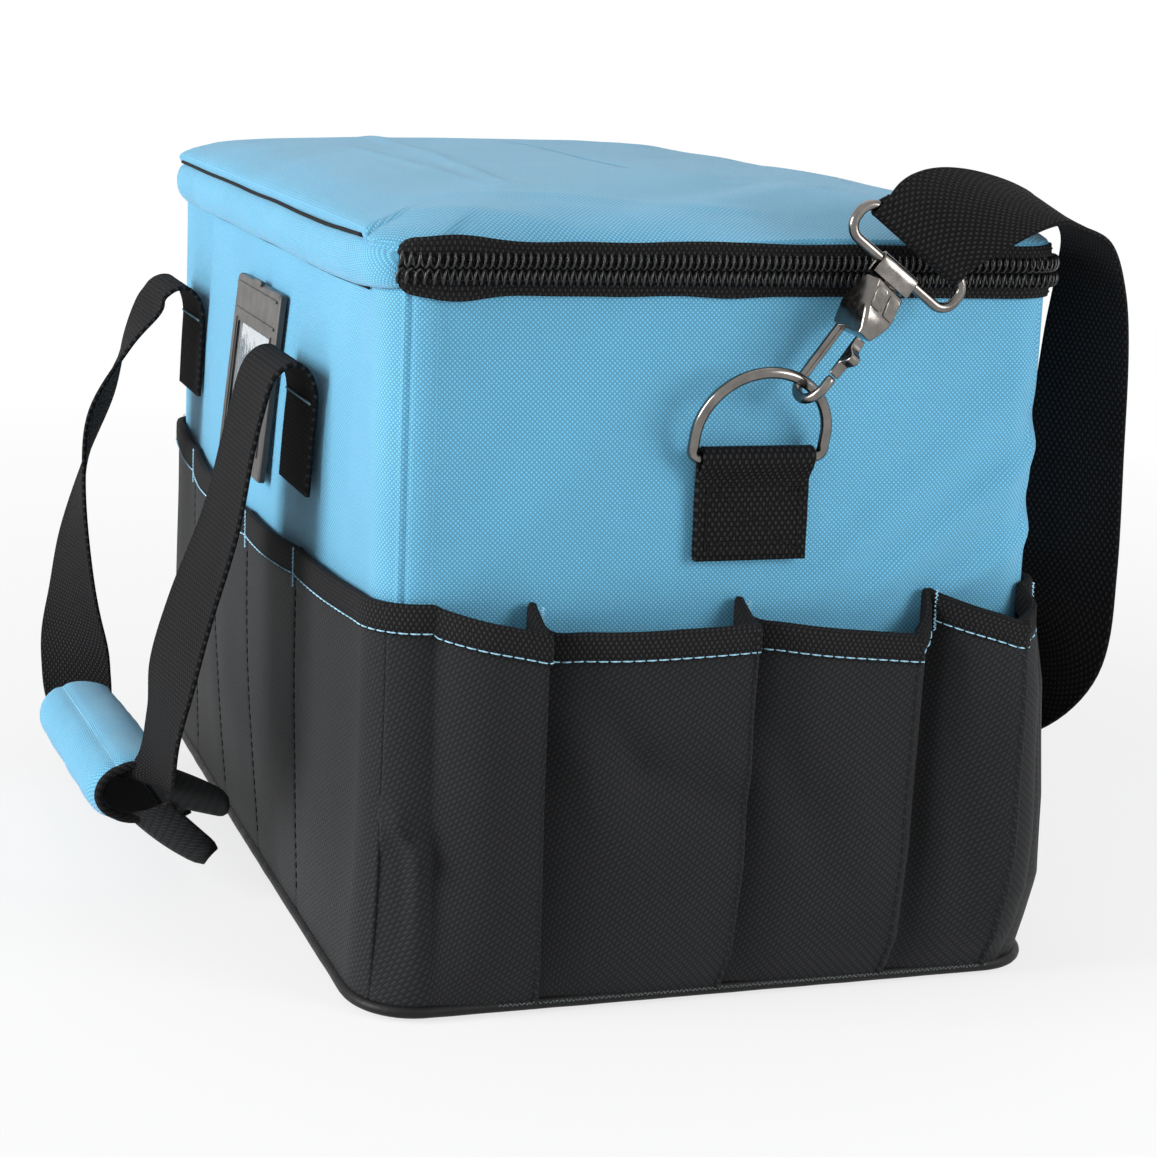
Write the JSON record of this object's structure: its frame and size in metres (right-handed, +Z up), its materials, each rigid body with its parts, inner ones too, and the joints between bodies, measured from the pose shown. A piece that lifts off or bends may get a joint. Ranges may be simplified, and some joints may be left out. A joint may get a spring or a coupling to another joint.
{
  "type": "tool bag",
  "caption": "Soft-sided rectangular tool bag with a zipped lid, pleated outside pockets, a carry handle on each side and a clip-on shoulder strap.",
  "frame": {"origin": "middle of the underside, on the surface that the bag stands on", "axes": "+Z up; +Y along the bag's length, away from the end with the nearer ring in the picture; +X across the bag to the side with the zipper sliders"},
  "size_m": [0.3394, 0.4587, 0.2738],
  "materials": {
    "blue_canvas": "light blue coated polyester canvas, plain weave",
    "black_twill": "black polyester twill, matt",
    "black_webbing": "black woven webbing and binding tape",
    "black_piping": "black vinyl, satin",
    "black_coil": "black nylon coil, satin",
    "black_enamel": "black enamelled zinc",
    "black_moulded": "black moulded plastic, fine grain",
    "grey_lining": "grey coated nylon",
    "grey_board": "stiff foamed board, hidden",
    "nickel_steel": "nickel-plated steel, polished",
    "clear_vinyl": "clear vinyl window"
  },
  "bodies": {
    "bag": {"base_panel": "black_webbing", "base_board": "grey_board", "base_piping": "black_piping", "body_shell": "blue_canvas", "near_end_board": "grey_board", "right_board": "grey_board", "far_end_board": "grey_board", "left_board": "grey_board", "lining": "grey_lining", "rim_binding": "black_webbing", "hinge_gusset": "blue_canvas", "lower_zipper_tape": "black_webbing", "lower_zipper_coil": "black_coil", "left_near_anchor": "black_webbing", "left_far_anchor": "black_webbing", "right_near_anchor": "black_webbing", "right_far_anchor": "black_webbing", "label_frame": "black_moulded", "label_window": "clear_vinyl", "near_end_pockets": "black_twill", "near_end_binding": "black_webbing", "far_end_pockets": "black_twill", "far_end_binding": "black_webbing", "right_pockets": "black_twill", "right_binding": "black_webbing", "left_pockets": "black_twill", "left_binding": "black_webbing", "near_ring_tab": "black_webbing", "far_ring_tab": "black_webbing"},
    "lid": {"lid_shell": "blue_canvas", "lid_lining": "grey_lining", "lid_board": "grey_board", "upper_zipper_tape": "black_webbing", "upper_zipper_coil": "black_coil"},
    "near_zip_slider": {"near_slider": "black_enamel"},
    "near_zip_pull": {"near_slider_pull": "black_enamel"},
    "near_ring": {"near_d_ring": "nickel_steel"},
    "near_hook": {"near_hook_bow": "nickel_steel", "near_hook_housing": "nickel_steel", "near_hook_swivel": "nickel_steel"},
    "near_gate": {"near_hook_gate": "nickel_steel"},
    "far_zip_slider": {"far_slider": "black_enamel"},
    "far_zip_pull": {"far_slider_pull": "black_enamel"},
    "far_ring": {"far_d_ring": "nickel_steel"},
    "far_hook": {"far_hook_bow": "nickel_steel", "far_hook_housing": "nickel_steel", "far_hook_swivel": "nickel_steel"},
    "far_gate": {"far_hook_gate": "nickel_steel"},
    "strap": {"shoulder_strap": "black_webbing", "strap_adjuster": "black_moulded", "near_strap_loop": "nickel_steel", "far_strap_loop": "nickel_steel"},
    "left_carry_handle": {"left_handle": "black_webbing", "grip_pad": "blue_canvas"},
    "grip_wrap_flap": {"grip_flap": "black_piping"},
    "right_carry_handle": {"right_handle": "black_webbing"}
  },
  "joints": [
    {"name": "lid_hinge", "type": "hinge", "parent": "bag", "child": "lid", "pos_m": [-0.1162, 0, 0.241], "axis": [0, -1, 0], "range_deg": [0, 105], "deforming": ["hinge_gusset"]},
    {"name": "near_slider_run", "type": "slide", "parent": "bag", "child": "near_zip_slider", "axis": [0, -1, 0], "range_m": [0, 0.135]},
    {"name": "near_pull_pin", "type": "hinge", "parent": "near_zip_slider", "child": "near_zip_pull", "pos_m": [0.1225, -0.0113, 0.24115], "axis": [0, -1, 0], "range_deg": [0, 120]},
    {"name": "far_slider_run", "type": "slide", "parent": "bag", "child": "far_zip_slider", "axis": [0, 1, 0], "range_m": [0, 0.135]},
    {"name": "far_pull_pin", "type": "hinge", "parent": "far_zip_slider", "child": "far_zip_pull", "pos_m": [0.1225, 0.0113, 0.24115], "axis": [0, -1, 0], "range_deg": [0, 120]},
    {"name": "near_ring_pivot", "type": "hinge", "parent": "bag", "child": "near_ring", "pos_m": [0.006, -0.192, 0.182], "axis": [1, 0, 0], "range_deg": [-2, 4]},
    {"name": "far_ring_pivot", "type": "hinge", "parent": "bag", "child": "far_ring", "pos_m": [0.006, 0.192, 0.182], "axis": [-1, 0, 0], "range_deg": [-1, 3]},
    {"name": "strap_swing", "type": "hinge", "parent": "bag", "child": "strap", "pos_m": [0.006, 0, 0.18917], "axis": [0, -1, 0], "range_deg": [0, 90], "deforming": ["shoulder_strap"]},
    {"name": "near_hook_swivel_turn", "type": "hinge", "parent": "strap", "child": "near_hook", "pos_m": [0.04325, -0.20042, 0.23783], "axis": [-0.6018, 0, -0.7986], "range_deg": [-20, 20]},
    {"name": "near_gate_pin", "type": "hinge", "parent": "near_hook", "child": "near_gate", "pos_m": [0.03283, -0.20722, 0.22201], "axis": [0.7865, 0.1736, -0.5927], "range_deg": [0, 25], "stiffness_Nm_per_rad": 0.01},
    {"name": "far_hook_swivel_turn", "type": "hinge", "parent": "strap", "child": "far_hook", "pos_m": [0.05608, 0.19964, 0.22498], "axis": [0.809, 0, 0.5878], "range_deg": [-20, 20]},
    {"name": "far_gate_pin", "type": "hinge", "parent": "far_hook", "child": "far_gate", "pos_m": [0.04149, 0.20644, 0.2129], "axis": [-0.5789, 0.1736, 0.7967], "range_deg": [0, 25], "stiffness_Nm_per_rad": 0.01},
    {"name": "left_handle_swing", "type": "hinge", "parent": "bag", "child": "left_carry_handle", "pos_m": [-0.133, 0.02, 0.2005], "axis": [0, -1, 0], "range_deg": [-135, 0]},
    {"name": "grip_flap_fold", "type": "hinge", "parent": "left_carry_handle", "child": "grip_wrap_flap", "pos_m": [-0.16085, 0.02, 0.03114], "axis": [0, 1, 0], "range_deg": [-34, 15]},
    {"name": "right_handle_swing", "type": "hinge", "parent": "bag", "child": "right_carry_handle", "pos_m": [0.13, 0.02, 0.2005], "axis": [0, 1, 0], "range_deg": [-165, 0]}
  ]
}
